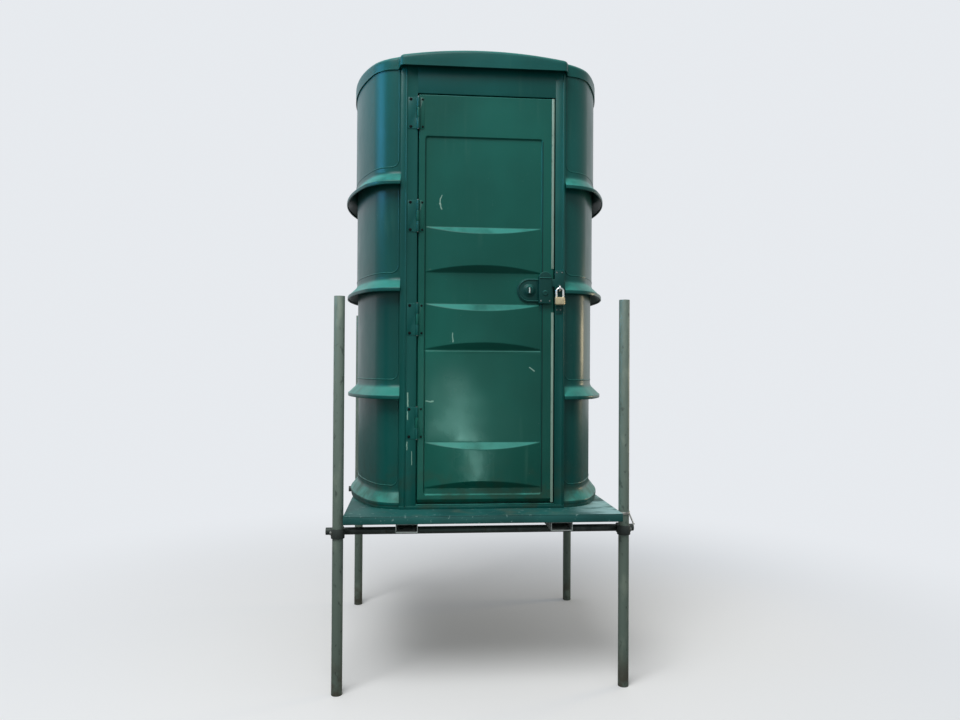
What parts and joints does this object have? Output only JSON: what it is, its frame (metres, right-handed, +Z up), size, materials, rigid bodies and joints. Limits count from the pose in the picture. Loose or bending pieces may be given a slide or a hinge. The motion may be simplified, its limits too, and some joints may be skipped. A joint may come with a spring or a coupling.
{
  "type": "moulded outhouse cabin on a raised steel platform",
  "caption": "Moulded outhouse cabin of stacked skirted rings with a hinged door, standing on a steel deck held between tube posts.",
  "frame": {"origin": "middle of the footprint at the level of the post feet", "axes": "+Z up, the door faces -Y, +X is on the right of someone facing the door"},
  "size_m": [1.462, 1.52, 3.09],
  "materials": {
    "shell": "moulded teal-green plastic, soft gloss",
    "door_shell": "moulded green plastic, soft gloss, faint scuffs",
    "deck_paint": "green paint worn pale on top",
    "post_tube": "weathered grey-green tube",
    "dark_steel": "dark weathered steel",
    "joist_steel": "dull galvanised",
    "wire": "dull galvanised wire",
    "fitting_paint": "dark green paint on steel",
    "pin_steel": "dull steel",
    "trim": "pale satin strip",
    "latch_plastic": "dark moulded plastic",
    "lock_brass": "dulled brass",
    "lock_steel": "plated bar"
  },
  "bodies": {
    "cabin": {"post_front_left": "post_tube", "post_front_right": "post_tube", "post_back_left": "post_tube", "post_back_right": "post_tube", "post_clamps": "dark_steel", "ledger_front": "dark_steel", "ledger_back": "dark_steel", "joist_left": "joist_steel", "joist_right": "joist_steel", "rail_front": "deck_paint", "rail_back": "deck_paint", "rail_left": "deck_paint", "rail_right": "deck_paint", "deck_sheet": "deck_paint", "tie_wire": "wire", "floor_pan": "shell", "sill": "shell", "jamb_left": "shell", "jamb_right": "shell", "header": "shell", "left_wall_foot": "shell", "left_wall_low": "shell", "left_wall_mid": "shell", "left_wall_top": "shell", "right_wall_foot": "shell", "right_wall_low": "shell", "right_wall_mid": "shell", "right_wall_top": "shell", "back_wall_foot": "shell", "back_wall_low": "shell", "back_wall_mid": "shell", "back_wall_top": "shell", "roof": "shell", "hinge_leaves_jamb": "fitting_paint", "hinge_pins": "pin_steel", "jamb_keeper": "fitting_paint"},
    "door": {"door_leaf": "door_shell", "door_edge_trim": "trim", "hinge_leaves_door": "fitting_paint", "latch_plate": "latch_plastic", "latch_case": "latch_plastic", "hasp": "fitting_paint", "hasp_staple": "lock_steel", "padlock_body": "lock_brass", "padlock_shackle": "lock_steel"}
  },
  "joints": [
    {"name": "door_hinge", "type": "hinge", "parent": "cabin", "child": "door", "pos_m": [-0.31325, -0.608, 1.85], "axis": [0, 0, -1], "range_deg": [0, 110]}
  ]
}
